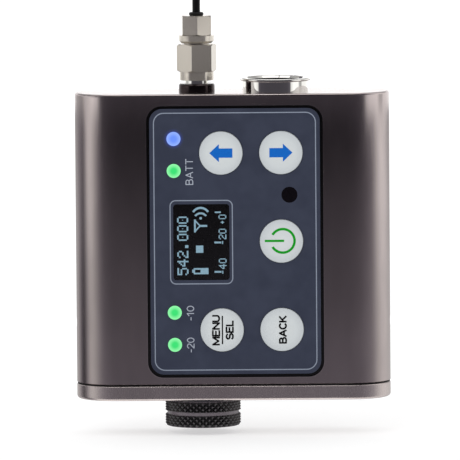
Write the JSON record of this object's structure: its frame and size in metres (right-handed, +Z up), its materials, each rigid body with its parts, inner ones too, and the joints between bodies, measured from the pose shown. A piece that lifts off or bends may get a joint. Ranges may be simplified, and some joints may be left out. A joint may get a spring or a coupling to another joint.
{
  "type": "wireless bodypack transmitter",
  "caption": "Slim metal belt-pack transmitter for a lavalier microphone: rounded ends, keypad and display in front, whip antenna and microphone socket on top, knurled battery-door knob below.",
  "frame": {"origin": "under the middle of the case in plan, level with the underside of the knob", "axes": "+Z up along the antenna, the control panel faces -Y, +X to the right of a person reading the panel"},
  "size_m": [0.0628, 0.0164, 0.1897],
  "materials": {
    "case_nickel": "satin dark nickel plate",
    "door_nickel": "satin dark nickel plate",
    "knob_black": "black anodised, diamond knurl",
    "bright_steel": "turned stainless steel",
    "connector_chrome": "polished nickel plate",
    "antenna_nickel": "polished nickel plate",
    "gold_contact": "gold flash",
    "brass": "turned brass",
    "spring_bronze": "spring-tempered bronze",
    "black_rubber": "moulded rubber",
    "black_plastic": "moulded plastic",
    "white_ptfe": "turned PTFE",
    "overlay_blue_grey": "back-printed polycarbonate, fine texture",
    "key_white": "moulded, printed legend",
    "window_clear": "clear polycarbonate window",
    "display_black": "display glass",
    "lens_blue": "dyed light pipe",
    "lens_green": "dyed light pipe",
    "infrared_dark": "infrared-pass plastic",
    "board_green": "solder-masked laminate",
    "tinned_steel": "tinned sheet steel",
    "chip_black": "moulded epoxy",
    "ferrite_grey": "pressed ferrite",
    "chip_white": "lamp chip",
    "cell_wrap": "printed film sleeve on a steel can",
    "whip_jacket": "extruded black jacket"
  },
  "bodies": {
    "case": {"housing": "case_nickel", "threaded_insert": "brass", "left_cell": "cell_wrap", "right_cell": "cell_wrap", "contact_holders": "black_plastic", "leaf_contact": "spring_bronze", "spring_contact": "bright_steel", "panel_overlay": "overlay_blue_grey", "panel_carrier": "black_plastic", "display_window": "window_clear", "display_glass": "display_black", "display_frame": "black_plastic", "dome_switches": "tinned_steel", "lamp_lens_blue": "lens_blue", "lamp_lenses_green": "lens_green", "lamp_chips": "chip_white", "infrared_window": "infrared_dark", "infrared_sensor": "chip_black", "control_board": "board_green", "radio_board": "board_green", "board_spacers": "brass", "board_screws": "bright_steel", "shield_cans": "tinned_steel", "board_chips": "chip_black", "power_choke": "ferrite_grey", "board_link": "black_plastic", "mic_jack_shell": "connector_chrome", "mic_jack_insulator": "black_plastic", "mic_jack_pins": "gold_contact", "mic_jack_nut": "bright_steel", "port_body": "connector_chrome", "port_ring": "black_plastic", "port_insulator": "white_ptfe", "port_contact": "gold_contact"},
    "battery_door": {"battery_door": "door_nickel", "door_seal": "black_rubber", "contact_tray": "black_plastic", "contact_bridge": "brass"},
    "thrust_washer": {"thrust_washer": "bright_steel"},
    "knob": {"knob": "knob_black", "knob_stud": "bright_steel", "stud_clip": "spring_bronze"},
    "antenna": {"plug_body": "antenna_nickel", "snap_ring": "spring_bronze", "plug_insulator": "white_ptfe", "plug_pin": "gold_contact", "whip": "whip_jacket", "whip_bead": "black_rubber", "whip_cap": "black_plastic"},
    "coupling_nut": {"coupling_nut": "antenna_nickel"},
    "key_left": {"key_left": "key_white"},
    "key_right": {"key_right": "key_white"},
    "key_power": {"key_power": "key_white"},
    "key_menu": {"key_menu": "key_white"},
    "key_back": {"key_back": "key_white"}
  },
  "joints": [
    {"name": "key_left_press", "type": "slide", "parent": "case", "child": "key_left", "axis": [0, 1, 0], "range_m": [0, 0.0003], "stiffness_N_per_m": 4000, "springref_m": -0.0001},
    {"name": "key_right_press", "type": "slide", "parent": "case", "child": "key_right", "axis": [0, 1, 0], "range_m": [0, 0.0003], "stiffness_N_per_m": 4000, "springref_m": -0.0001},
    {"name": "key_power_press", "type": "slide", "parent": "case", "child": "key_power", "axis": [0, 1, 0], "range_m": [0, 0.0003], "stiffness_N_per_m": 4000, "springref_m": -0.0001},
    {"name": "key_menu_press", "type": "slide", "parent": "case", "child": "key_menu", "axis": [0, 1, 0], "range_m": [0, 0.0003], "stiffness_N_per_m": 4000, "springref_m": -0.0001},
    {"name": "key_back_press", "type": "slide", "parent": "case", "child": "key_back", "axis": [0, 1, 0], "range_m": [0, 0.0003], "stiffness_N_per_m": 4000, "springref_m": -0.0001},
    {"name": "knob_travel", "type": "slide", "parent": "case", "child": "thrust_washer", "axis": [0, 0, -1], "range_m": [0, 0.0014]},
    {"name": "knob_turn", "type": "hinge", "parent": "thrust_washer", "child": "knob", "pos_m": [-0.00622, 0, 0], "axis": [0, 0, -1], "range_deg": [0, 721]},
    {"name": "door_swing", "type": "hinge", "parent": "case", "child": "battery_door", "pos_m": [-0.00622, 0, 0.0056], "axis": [0, 0, 1], "range_deg": [-90, 90]},
    {"name": "antenna_travel", "type": "slide", "parent": "case", "child": "antenna", "axis": [0, 0, 1], "range_m": [0, 0.00353]},
    {"name": "coupling_nut_turn", "type": "hinge", "parent": "antenna", "child": "coupling_nut", "pos_m": [-0.007, 0, 0.067], "axis": [0, 0, 1], "range_deg": [0, 1801]}
  ],
  "couplings": [
    {"joint": "knob_turn", "follows": "knob_travel", "rad_per_m": 8976},
    {"joint": "coupling_nut_turn", "follows": "antenna_travel", "rad_per_m": 8904.7}
  ]
}
